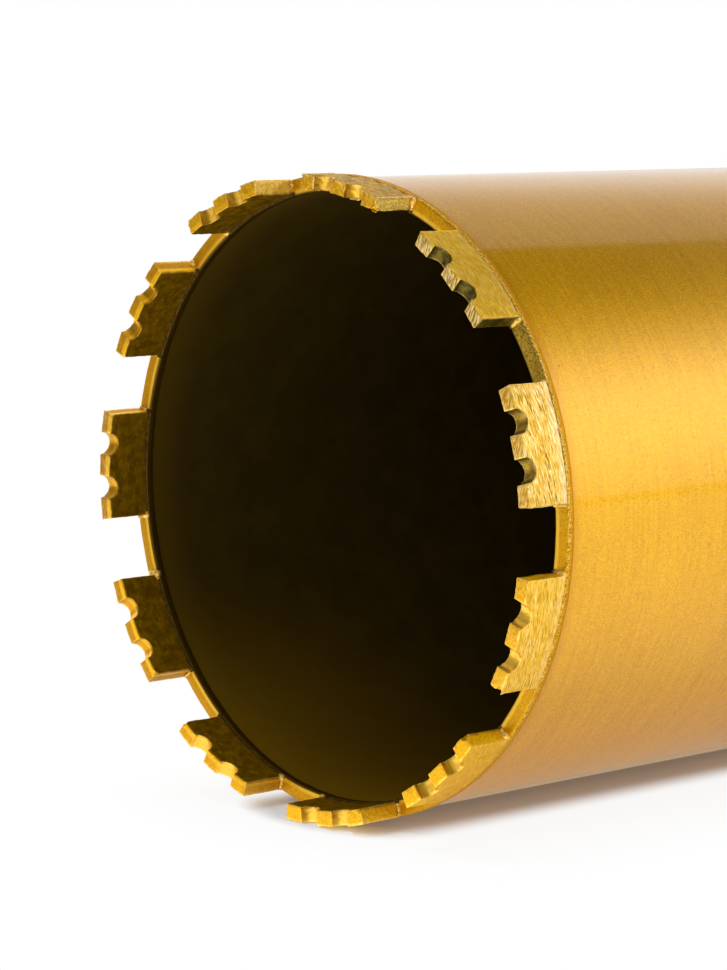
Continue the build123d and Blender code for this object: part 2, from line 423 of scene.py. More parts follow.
def segment_metal(settings):
    """Gold-painted segments: short coarse grinding marks on the outer faces, sandy and mottled elsewhere,
    with painted highlights and painted shade.
    """
    metal = Finish("segment_metal")
    wander = metal.noise(0.22)
    scratches = metal.streaks(5.0, 0.55, 2.0, 0.6, 0.16, 0.1)
    deep = metal.streaks(3.4, 0.30, 1.0, 0.5, 0.16, 0.1)
    sand = metal.noise(2.2, 3.0, 0.7)
    grit = metal.noise(3.4, 2.0, 0.6)
    mottled = metal.noise(0.6, 3.0, 0.65)
    slanted = metal.node("ShaderNodeCombineXYZ", None, metal.y * 3.4 + metal.z * 1.1, metal.z * 0.5, metal.x)
    stripes = metal.noise(1.0, 2.0, 0.6, vector=slanted)
    groove, edge, end, worn, striped, sanded, flank, dulled, tarnished = (
        metal.attribute(name) for name in ("groove", "edge", "end", *LOOKS)
    )
    tip = metal.x.band(TIP + 0.7, TIP + 0.4)
    foot = metal.x.band(RING_FRONT - 2.2, RING_FRONT - 0.3)
    outer_radius = settings.diameter / MM / 2
    outer = metal.radius.band(outer_radius - 0.8, outer_radius - 0.35)
    inner_edge_highlight = metal.radius.band(outer_radius - 1.9, outer_radius - 2.5)
    inner = metal.radius.band(outer_radius - 2.6, outer_radius - 3.1)

    scored = metal.node(
        "ShaderNodeValToRGB",
        {"stops": [
            (0.33, (0.34, 0.17, 0.006)), (0.42, (0.68, 0.38, 0.03)), (0.50, settings.metal),
            (0.58, (0.97, 0.72, 0.26)), (0.66, settings.metal_bright),
        ]},
        scratches * 0.85 + sand * 0.15 + wander * 0.14 - 0.07 + foot * 0.04,
    )
    bare = metal.layered(
        scored, (deep.band(0.36, 0.30) * 0.9, settings.metal_dark), (foot * 0.35, (0.95, 0.72, 0.44))
    )
    ground = metal.layered(
        metal.mix(scratches.band(0.32, 0.60), (0.74, 0.38, 0.003), (0.98, 0.62, 0.06)),
        ((worn + (mottled - 0.5) * 0.8).band(0.1, 0.9), bare),
        (worn.band(1.0, 1.5) * mottled.band(0.25, 0.7) * 0.75, (0.36, 0.23, 0.10)),
    )

    # painted shade on the cutting faces of the left-hand segments, lighter towards the inner edge as a
    # painted highlight
    shaded_land = metal.mix(inner_edge_highlight, (0.40, 0.17, 0.0), (0.98, 0.54, 0.01))
    # inner faces: mottled gold, darkened as painted shade inside the bore
    inside = metal.mix(mottled.band(0.36, 0.68), (0.24, 0.11, 0.0), (0.56, 0.29, 0.002))
    bars = metal.mix(stripes.band(0.40, 0.58), (0.26, 0.13, 0.006), (0.97, 0.74, 0.32))
    # bright sandy grit for the sanded last end faces, partly a painted highlight
    bright = metal.mix(grit.band(0.40, 0.60), (0.60, 0.39, 0.03), (1.0, 0.78, 0.22))
    painted = metal.layered(
        metal.mix(sand.band(0.34, 0.66), (0.70, 0.335, 0.0), (0.95, 0.52, 0.004)),
        (mottled.band(0.46, 0.34) * 0.35, (0.36, 0.16, 0.0)),
        # painted shade on the left-hand segments
        (dulled * 0.85, shaded_land),
        # painted shade on the inner faces
        (inner * (1 - tip * 0.9) * 0.85, inside),
        (tip * striped * 0.85, bars),
        # the sanded last end faces, brightened partly as a painted highlight
        (sanded, bright),
    )

    # scale in the grooves, partly painted shade
    scale = metal.mix(mottled.band(0.4, 0.66), (0.16, 0.09, 0.006), (0.70, 0.47, 0.08))
    # painted shade for the grooves and the last end face
    end_and_groove_shade_colour = metal.mix(mottled.band(0.40, 0.64), (0.045, 0.030, 0.001), (0.16, 0.11, 0.006))
    # a painted highlight on one flank of each groove
    flank_highlight = flank.band(-0.8, -0.5) * flank.math("ABSOLUTE", flank).band(0.0, 0.005)
    # a painted highlight along the edges, on top of rubbed wear
    rubbed = edge * (0.25 + mottled * 0.8) * (1 - outer * 0.5) * (1 - dulled * 0.85)
    colour = metal.layered(
        painted,
        (outer * (1 - dulled * tip), ground),
        # scale in the grooves of the right-hand segments, partly painted shade
        (groove * striped * 0.85, scale),
        (groove * (1 - striped) * (1 - dulled) * 0.25, (1.0, 0.66, 0.10)),
        # painted shade in the grooves of the left-hand segments
        (groove * dulled * 0.6, (0.50, 0.23, 0.0)),
        # the painted highlight on one flank of each groove
        (flank_highlight * 0.5, (1.0, 0.60, 0.08)),
        # painted shade on the other flank of each groove
        (flank.band(-0.6, -0.9) * 0.75, (0.24, 0.11, 0.002)),
        # painted shade in the grooves and on the last end face
        (tarnished, end_and_groove_shade_colour),
        # the painted highlight and rubbed wear along the edges
        (rubbed, metal.mix(worn, (1.0, 0.62, 0.03), (1.0, 0.78, 0.28))),
    )
    lines = (scratches * 0.5 + deep.band(0.28, 0.40) * 0.8) * (0.25 + worn * 0.75)
    height = lines * outer + (sand * 0.6 + mottled * 0.5 + stripes * tip * striped) * (1 - outer)
    return metal.surface(
        colour, 0.38 + sand * 0.16 - groove * (0.16 - striped * 0.18),
        0.82 + outer * 0.1 - end * 0.5 - flank_highlight * 0.1, metal.bump(height, 0.08),
        coat=0.1, coat_roughness=0.16, rim=(1.0, 0.85, 0.55),
    )


def braze_metal(settings):
    """Braze that ran and set: rounded gold with bright facets and brown scale between, and painted shade on
    its beads inside the ring.
    """
    braze = Finish("braze_metal")
    lumps = braze.noise(0.9, 4.0, 0.7)
    scale = braze.noise(2.6, 3.0, 0.7)
    drop = braze.attribute("drop")
    set_braze = braze.node(
        "ShaderNodeValToRGB",
        {"stops": [
            (0.30, (0.08, 0.04, 0.004)), (0.48, (0.40, 0.20, 0.012)), (0.6, (0.74, 0.44, 0.05)),
            (0.72, (0.95, 0.82, 0.55)),
        ]},
        lumps * 0.55 + scale * 0.45 + 0.07,
    )
    outer_radius = settings.diameter / MM / 2
    # The beads in the ring's bore, which get painted shade.
    bore = braze.radius.band(outer_radius - 2.7, outer_radius - 3.1)
    bore = bore * braze.x.band(RING_FRONT - 1.2, RING_FRONT - 0.8)
    colour = braze.layered(
        set_braze,
        # painted shade on the beads in the bore
        (bore * 0.97, braze.mix(lumps.band(0.45, 0.7), (0.05, 0.024, 0.001), (0.13, 0.07, 0.004))),
        (drop * 0.9, braze.mix(scale.band(0.35, 0.65), (0.78, 0.42, 0.03), (1.0, 0.72, 0.20))),
    )
    return braze.surface(
        colour, 0.28 + scale * 0.25 + bore * (1 - drop) * 0.3, 0.8, braze.bump(lumps + scale * 0.4, 0.10)
    )


def weld_metal():
    """Steel weld under the gold paint: mottled brown and gold."""
    weld = Finish("weld_metal")
    sand = weld.noise(2.2, 4.0, 0.7)
    drift = weld.noise(0.25, 3.0, 0.6)
    colour = weld.mix(sand.band(0.35, 0.65), (0.36, 0.15, 0.003), (0.72, 0.36, 0.01))
    colour = weld.mix(drift.band(0.5, 0.75) * 0.4, colour, (0.86, 0.52, 0.06))
    height = weld.bump(sand + drift, 0.05)
    return weld.surface(colour, 0.40 + sand * 0.15, 0.88, height, coat=0.15, coat_roughness=0.3)


def hub_metal(settings):
    """Gold paint over machined steel, worn bare where a spanner and the drill spindle meet it."""
    hub = Finish("hub_metal")
    grain = hub.noise(2.6, 3.0, 0.7)
    worn = hub.noise(0.22, 5.0, 0.7)
    corner = settings.across_flats / MM / 2 / math.cos(math.pi / 6)
    edges = hub.radius.band(corner - 2.4, corner - 0.4) * hub.x.band(PLATE_BACK + 7.2, PLATE_BACK + 7.8)
    end = hub.x.band(HUB_BACK - 0.9, HUB_BACK - 0.2)
    bore = hub.radius.band(17.2, 16.4)
    bare = ((edges + end * 0.8) * worn.band(0.38, 0.52) + worn.band(0.66, 0.74) * 0.7 + bore).band(0.25, 0.75)
    turning = hub.streaks(0.4, 3.0, 3.0, 0.6)
    gold = hub.mix(grain.band(0.3, 0.7), (0.40, 0.20, 0.015), (0.56, 0.305, 0.035))
    steel = hub.mix(turning.band(0.3, 0.7), settings.steel, (0.58, 0.56, 0.52))
    colour = hub.mix(bare, gold, steel)
    return hub.surface(
        colour, 0.42 - bare * 0.08 + grain * 0.1, 0.92,
        hub.bump(grain * 0.5 + turning * 0.4 - bare * 0.6, 0.04), coat=0.3 - bare * 0.25, coat_roughness=0.28,
    )


def thread_metal(settings):
    """Cut steel of the spindle thread, darker in its roots."""
    steel = Finish("thread_metal")
    chatter = steel.streaks(2.5, 0.6, 4.0, 0.7)
    root = steel.radius.band(settings.tapped_diameter / MM / 2 + 0.5, settings.thread_diameter / MM / 2)
    colour = steel.mix(chatter.band(0.3, 0.7), settings.steel, (0.56, 0.54, 0.50))
    colour = steel.mix(root * 0.75, colour, (0.10, 0.085, 0.06))
    return steel.surface(colour, 0.30 + chatter * 0.15, 0.95, steel.bump(chatter, 0.05))


def select_only(*pieces):
    """Leaves edit mode, then selects just these objects, the last of them active."""
    if bpy.context.object and bpy.context.object.mode != "OBJECT":
        bpy.ops.object.mode_set(mode="OBJECT")
    bpy.ops.object.select_all(action="DESELECT")
    for piece in pieces:
        piece.select_set(True)
    bpy.context.view_layer.objects.active = pieces[-1]


def added(name):
    """The primitive that was just added, named, with its place moved into its mesh."""
    piece = bpy.context.object
    select_only(piece)
    bpy.ops.object.transform_apply(location=True, rotation=True, scale=True)
    piece.name = piece.data.name = name
    return piece


def copied(piece, name):
    twin = piece.copy()
    twin.data = piece.data.copy()
    twin.name = twin.data.name = name
    bpy.context.scene.collection.objects.link(twin)
    return twin


def modified(piece, kind, **settings):
    """Applies one modifier to a piece."""
    select_only(piece)
    modifier = piece.modifiers.new(kind.title(), kind)
    for key, value in settings.items():
        setattr(modifier, key, value)
    bpy.ops.object.modifier_apply(modifier=modifier.name)


def cut(piece, cutter, operation="DIFFERENCE"):
    """Cuts a piece with another, which is used up."""
    modified(piece, "BOOLEAN", operation=operation, object=cutter, solver="EXACT")
    bpy.data.objects.remove(cutter)


def edit(action="SELECT"):
    """Enters edit mode on the active piece, with all of it selected, or none of it."""
    bpy.ops.object.mode_set(mode="EDIT")
    bpy.ops.mesh.select_all(action=action)


def leave_edit():
    bpy.ops.object.mode_set(mode="OBJECT")


def tidied(piece, merge=1e-6):
    """Merges doubled points and turns all faces outwards."""
    select_only(piece)
    edit()
    bpy.ops.mesh.remove_doubles(threshold=merge)
    bpy.ops.mesh.normals_make_consistent(inside=False)
    leave_edit()
    return piece


def around(radius, angle):
    """Y and Z of a place at this radius and angle, clockwise from up as seen from the cutting end."""
    return -math.sin(angle) * radius, AXIS_HEIGHT + math.cos(angle) * radius


def spun(piece, steps, angle):
    """Spins a flat outline about the bit's axis and closes what that makes."""
    edit()
    bpy.ops.mesh.spin(steps=steps, angle=angle, center=(0, 0, AXIS_HEIGHT), axis=(1, 0, 0))
    leave_edit()
    return tidied(piece)


def turned(name, outline, steps=330):
    """Turns a closed outline of (x, radius) corners about the bit's axis into a solid ring."""
    bpy.ops.mesh.primitive_circle_add(vertices=len(outline), radius=MM)
    piece = added(name)
    for vertex, (x, radius) in zip(piece.data.vertices, outline):
        vertex.co = (x, 0, AXIS_HEIGHT + radius)
    return spun(piece, steps, math.tau)


def tube(name, front, back, inner, outer, **settings):
    return turned(name, [(front, inner), (front, outer), (back, outer), (back, inner)], **settings)


def break_edges(piece, corners, width, segments=3):
    """Rounds the round edges of a turned piece that stand at these (x, radius) corners."""
    select_only(piece)
    edit("DESELECT")
    bpy.ops.mesh.select_mode(type="EDGE")
    leave_edit()

    def stands_at(vertex, corner):
        radius = math.hypot(vertex.co.y, vertex.co.z - AXIS_HEIGHT)
        return math.hypot(vertex.co.x - corner[0], radius - corner[1]) < SAME_PLACE

    vertices = piece.data.vertices
    for edge in piece.data.edges:
        ends = [vertices[index] for index in edge.vertices]
        edge.select = any(all(stands_at(end, corner) for end in ends) for corner in corners)
    bpy.ops.object.mode_set(mode="EDIT")
    bpy.ops.mesh.bevel(offset=width, segments=segments, affect="EDGES", profile=0.5)
    bpy.ops.mesh.select_mode(type="VERT")
    leave_edit()


def points_of(piece):
    """A piece's points, one to a row."""
    points = np.empty(len(piece.data.vertices) * 3)
    piece.data.vertices.foreach_get("co", points)
    return points.reshape(-1, 3)


def note(piece, name, values):
    """Notes a value for each of a piece's points, for its finish to read."""
    piece.data.attributes.new(name, "FLOAT", "POINT").data.foreach_set("value", values.astype(np.float32))


def clouds(name, size, depth=2):
    texture = bpy.data.textures.new(name, "CLOUDS")
    texture.noise_scale = size
    texture.noise_depth = depth
    return texture


def roughened(piece, texture, depth):
    """Wears a surface down unevenly, by up to this depth and never outwards."""
    modified(
        piece, "DISPLACE", texture=texture, texture_coords="LOCAL", direction="NORMAL", mid_level=1.0,
        strength=depth,
    )


def dressed(piece, finish, slot, *nodes):
    """Gives a piece its finish, hangs it on the bit, and lets it stand for the solids it models."""
    select_only(piece)
    bpy.ops.object.shade_smooth_by_angle(angle=SMOOTH_BELOW)
    piece.data.materials.clear()
    piece.data.materials.append(finish)
    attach(piece, "root")
    if nodes:
        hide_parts(*nodes)


class BIT_OT_barrel(bpy.types.Operator):
    """Model the barrel: a painted steel tube with broken edges"""

    bl_idname = "core_bit.barrel"
    bl_label = "Barrel"

    def execute(self, context):
        settings = context.scene.core_bit_barrel
        outer = settings.diameter / 2
        inner = outer - settings.wall
        barrel = tube("painted_barrel", BARREL_FRONT_X, BARREL_BACK_X, inner, outer, steps=360)
        break_edges(barrel, [(BARREL_BACK_X, outer)], settings.back_edge)
        dressed(barrel, gold_paint(settings), "gold_paint", "barrel")
        return {"FINISHED"}


class BIT_OT_crown_ring(bpy.types.Operator):
    """Model the carrier ring with its rounded end face, and the seam behind it"""

    bl_idname = "core_bit.crown_ring"
    bl_label = "Crown ring"

    def execute(self, context):
        settings = context.scene.core_bit_crown
        outer = settings.ring_diameter / 2
        inner = outer - settings.ring_wall
        ring = tube("carrier_ring", RING_FRONT_X, RING_BACK_X, inner, outer)
        break_edges(ring, [(RING_FRONT_X, inner), (RING_FRONT_X, outer)], settings.ring_edge, 4)
        break_edges(ring, [(RING_BACK_X, outer), (RING_BACK_X, inner)], settings.ring_edge * 0.5, 2)
        roughened(ring, clouds("ring_swell", 3.0 * MM), 0.14 * MM)
        dressed(ring, ring_paint(settings), "ring_paint", "crown_ring")

        barrel, leg = context.scene.core_bit_barrel.diameter / 2, settings.seam
        front, under = RING_BACK_X - 0.1 * MM, barrel - 0.2 * MM
        toe = (RING_BACK_X + leg * 1.2, barrel - 0.03 * MM)
        slope = [
            (RING_BACK_X + leg * along, barrel + leg * out) for along, out in ((0.35, 0.62), (0.75, 0.22))
        ]
        outline = [(front, under), (front, barrel + leg), *slope, toe, (RING_BACK_X + leg, under)]
        seam = turned("ring_seam", outline)
        roughened(seam, clouds("seam_swell", 2.0 * MM), 0.12 * MM)
        dressed(seam, weld_metal(), "weld", "ring_weld")
        return {"FINISHED"}


# Chips and worn corners that differ from segment to segment, in millimetres: the segment's number, the
# place along it (clockwise), behind its cutting face and in from its outer face, and the chip's radius.
CHIPS = (
    (1, -11.8, 0.2, 0.4, 0.8), (1, 11.9, 0.0, 3.0, 1.2), (4, 12.0, 0.1, 1.0, 1.0),
    (5, -12.0, 0.1, 3.4, 1.5), (6, -12.0, 0.2, 3.4, 0.8), (7, 12.0, 0.1, 3.4, 0.8),
    (8, -12.0, 0.0, 3.4, 0.9), (9, 12.0, 0.0, 3.5, 0.7), (10, -12.0, 0.0, 3.5, 0.7),
    (11, -12.0, 0.0, 0.3, 0.6),
)
# How each segment looks, by its number: how far its outer face is ground bare, how scored its cutting face
# and grooves are, the scale in its grooves partly painted shade, how sandy its last end face is, with a
# painted highlight on it, which flank of its grooves gets a painted highlight and which painted shade (1 the
# one passed first, clockwise), how much painted shade darkens it at the left of the crown, with a painted
# highlight towards the inner edge of its cutting face, and how much painted shade is in its grooves and on
# its last end face.
LOOKS = {
    "worn": {1: 1.5, 2: 0.3, 3: 0.85, 4: 0.45, 5: 0.15, 6: 0.3, 7: 0.45, 8: 0.45, 9: 0.6, 10: 0.45, 11: 0.45},
    "striped": {1: 0.1, 2: 1.0, 3: 0.6, 4: 0.1, 9: 0.2},
    "sanded": {1: 1.0, 11: 0.45},
    "flank": {1: 1.0, 2: 0.4, 4: -0.7, 5: -1.0, 6: -1.0, 7: -0.6, 11: 1.0},
    "dulled": {7: 0.4, 8: 0.8, 9: 1.0, 10: 0.8, 11: 0.35},
    "tarnished": {2: 1.0, 3: 0.65},
}
# How much more a segment's surface is broken up than the rest.
BROKEN = {1: 3.0, 2: 1.4, 11: 1.6}


def crown_sizes(settings):
    """The outer and inner radius of the segments, and half the angle that each takes up."""
    outer = settings.diameter / 2
    return outer, outer - settings.segment_thickness, math.asin(settings.segment_length / settings.diameter)


class BIT_OT_segments(bpy.types.Operator):
    """Model one grooved segment, then copy it round the crown, wear each copy in its own way and note where
    light and shade are painted on it
    """

    bl_idname = "core_bit.segments"
    bl_label = "Diamond segments"

    def execute(self, context):
        settings = context.scene.core_bit_crown
        outer, inner, half = crown_sizes(settings)
        foot = RING_FRONT_X + LET_IN

        bpy.ops.mesh.primitive_plane_add(size=MM)
        blank = added("segment_blank")
        corners = ((TIP_X, outer), (foot, outer), (foot, inner), (TIP_X, inner))
        for index, corner in zip(blank.data.polygons[0].vertices, corners):
            blank.data.vertices[index].co = (corner[0], *around(corner[1], half))
        spun(blank, 28, 2 * half)
        for side in (-0.5, 0.5):
            bpy.ops.mesh.primitive_cylinder_add(
                vertices=40, radius=settings.groove_radius, depth=12 * MM,
                location=(TIP_X, side * settings.groove_spacing, AXIS_HEIGHT + (outer + inner) / 2),
            )
            cut(blank, added("groove_cutter"))

        finish = segment_metal(settings)
        swell = clouds("segment_swell", 2.6 * MM)
        wear = clouds("segment_wear", 0.75 * MM, 3)
        wobble = random.Random(11)
        for number, node in enumerate(SEGMENT_NODES, 1):
            piece = copied(blank, f"worn_{node}")
            for chip in CHIPS:
                if chip[0] == number:
                    self.chip(piece, outer, *chip[1:], wobble)
            modified(piece, "REMESH", mode="VOXEL", voxel_size=settings.voxel, adaptivity=0.0)
            modified(piece, "SMOOTH", factor=0.5, iterations=max(1, round(settings.edge_wear / (0.08 * MM))))
            self.mark(piece, settings, number)
            angle = settings.first_angle + (number - 1) * PITCH
            centre = Matrix.Translation((0, 0, AXIS_HEIGHT))
            piece.data.transform(centre @ Matrix.Rotation(angle, 4, "X") @ centre.inverted())
            pitting = settings.pitting * BROKEN.get(number, 1.0)
            roughened(piece, swell, pitting * 1.6)
            roughened(piece, wear, pitting)
            dressed(piece, finish, "diamond_segment", node)
        bpy.data.objects.remove(blank)
        return {"FINISHED"}

    def mark(self, piece, settings, number):
        """Notes on a segment's points which lie in a groove or by an edge, how worn the segment is, and where
        light and shade are painted on it.
        """
        outer, inner, half = crown_sizes(settings)
        x, y, z = points_of(piece).T
        radius = np.hypot(y, z - AXIS_HEIGHT)
        along = np.arctan2(-y, z - AXIS_HEIGHT) * outer
        behind = x - TIP_X
        grooves = [np.hypot(behind, y - side * settings.groove_spacing / 2) for side in (-1, 1)]
        to_groove = np.abs(np.minimum(*grooves) - settings.groove_radius)
        to_end = half * outer - np.abs(along)
        faces = np.sort([behind, outer - radius, radius - inner, to_end, to_groove], axis=0)
        inside = (to_groove < GROOVE_REACH) & (behind > END_REACH)
        last_end = along > half * outer - END_REACH
        centre = np.where(y < 0, -1, 1) * settings.groove_spacing / 2
        marks = {
            "groove": inside.astype(float),
            # near an edge, where the painted highlight and rubbed wear go
            "edge": np.clip(1 - np.abs(faces[1]) / EDGE_REACH, 0, 1),
            "end": (np.abs(along) > half * outer - END_REACH).astype(float),
        }
        marks.update({name: np.full(len(x), table.get(number, 0.0)) for name, table in LOOKS.items()})
        # the sanded last end face, partly a painted highlight
        marks["sanded"] *= last_end
        # painted shade in the grooves and on the last end face
        marks["tarnished"] *= inside | last_end
        # which flank of each groove gets the painted highlight and which the painted shade
        marks["flank"] *= inside * np.clip((centre - y) / settings.groove_radius, -1, 1)
        for name, values in marks.items():
            note(piece, name, values)

    def chip(self, piece, outer, along, behind, inward, radius, wobble):
        """Knocks a chip out of a segment that still stands at the top of the crown."""
        y, z = around(outer - inward * MM, along * MM / outer)
        bpy.ops.mesh.primitive_ico_sphere_add(
            subdivisions=2, radius=radius * MM, location=(TIP_X + behind * MM, y, z),
            rotation=[wobble.uniform(0, math.tau) for _ in range(3)],
            scale=[wobble.uniform(0.7, 1.1) for _ in range(3)],
        )
        cut(piece, added("chip_cutter"))


# Larger drops of braze: the segment's number, the end of it (-1 first, 1 last, clockwise), the place in
# from its outer face and the drop's radius, in millimetres.
DROPS = (
    (1, -1, 0.9, 0.95), (1, 1, 0.9, 0.9), (2, 1, 0.8, 0.85), (2, 1, 2.0, 0.7), (4, -1, 0.8, 0.85),
    (5, -1, 0.9, 1.0), (5, -1, 2.1, 0.7), (8, 1, 2.2, 1.35), (8, 1, 3.3, 1.1), (8, 1, 1.2, 0.8),
    (10, 1, 0.9, 0.9), (7, -1, 3.0, 0.9), (3, 1, 3.2, 0.7), (11, -1, 2.8, 0.8), (6, 1, 3.0, 0.8),
    (9, -1, 3.2, 0.8),
)


class BIT_OT_braze(bpy.types.Operator):
    """Model the braze round each segment's foot as drops that have run together"""

    bl_idname = "core_bit.braze"
    bl_label = "Braze"

    def execute(self, context):
        settings = context.scene.core_bit_crown
        outer, inner, half = crown_sizes(settings)
        finish = braze_metal(settings)
        chance = random.Random(5)
        bpy.ops.mesh.primitive_ico_sphere_add(subdivisions=2, radius=1.0)
        drop = added("braze_drop")
        for number, node in enumerate(BRAZE_NODES, 1):
            angle = settings.first_angle + (number - 1) * PITCH
            drops = []
            for side in (-1, 1):
                end = angle + side * (half + 0.05 * MM / outer)
                for step in range(END_DROPS):
                    radius = outer - (0.75 + step * 0.33) * MM
                    size = chance.uniform(0.75, 1.15) * settings.bead
                    drops.append((RING_FRONT_X + 0.12 * MM, radius, end, size))
            for step in range(BORE_DROPS):
                turn = angle - half + 2 * half * (step + 0.5) / BORE_DROPS
                size = chance.uniform(0.65, 0.95) * settings.bead
                drops.append((RING_FRONT_X + 0.15 * MM, inner + LET_IN, turn, size))
            small = len(drops)
            for which, side, inward, size in DROPS:
                if which == number:
                    inset = max(inward, size + 0.2) * MM
                    drops.append((RING_FRONT_X + 0.05 * MM, outer - inset, angle + side * half, size * MM))
            beads = []
            large = [(x, *around(radius, turn), size) for x, radius, turn, size in drops[small:]]
            for x, radius, turn, size in drops:
                bead = copied(drop, "braze_bead")
                y, z = around(radius, turn)
                stretch = Matrix.Diagonal((chance.uniform(0.8, 1.2), 1.0, 1.0, 1.0))
                bead.data.transform(Matrix.Translation((x, y, z)) @ Matrix.Scale(size, 4) @ stretch)
                beads.append(bead)
            select_only(*beads)
            bpy.ops.object.join()
            bead = bpy.context.object
            bead.name = bead.data.name = f"run_{node}"
            modified(bead, "REMESH", mode="VOXEL", voxel_size=BRAZE_DETAIL, adaptivity=0.0)
            modified(bead, "SMOOTH", factor=0.5, iterations=3)
            self.mark(bead, large)
            dressed(bead, finish, "braze", node)
        bpy.data.objects.remove(drop)
        return {"FINISHED"}

    def mark(self, bead, large):
        """Notes which points of a bead lie on one of its large, clean drops."""
        points = points_of(bead)
        on_drop = np.zeros(len(points))
        for *place, size in large:
            apart = np.linalg.norm(points - place, axis=1)
            on_drop = np.maximum(on_drop, np.clip((1.25 - apart / size) / 0.2, 0, 1))
        note(bead, "drop", on_drop)


def rippled(bead, ripples, depth, root, lean):
    """Lays the ripples of a hand-run weld over a turned bead, whose root is an (x, radius) place."""
    for vertex in bead.data.vertices:
        y, z = vertex.co.y, vertex.co.z - AXIS_HEIGHT
        angle, radius = math.atan2(-y, z), math.hypot(y, z)
        sideways = (vertex.co.x - root[0]) + (radius - root[1])
        drift = 0.9 * noise.noise(Vector((math.cos(angle), math.sin(angle), 0)) * 9)
        wave = 0.5 + 0.5 * math.cos(ripples * angle + drift * 2 + lean * sideways / MM)
        swell = 0.5 + 0.5 * noise.noise(vertex.co * 220)
        share = depth * (0.65 * wave + 0.35 * swell)
        away = Vector((vertex.co.x - root[0], radius - root[1]))
        if away.length > 0.4 * MM:
            away *= 1 - share / away.length
            vertex.co.x = root[0] + away.x
            vertex.co.y, vertex.co.z = around(root[1] + away.y, angle)


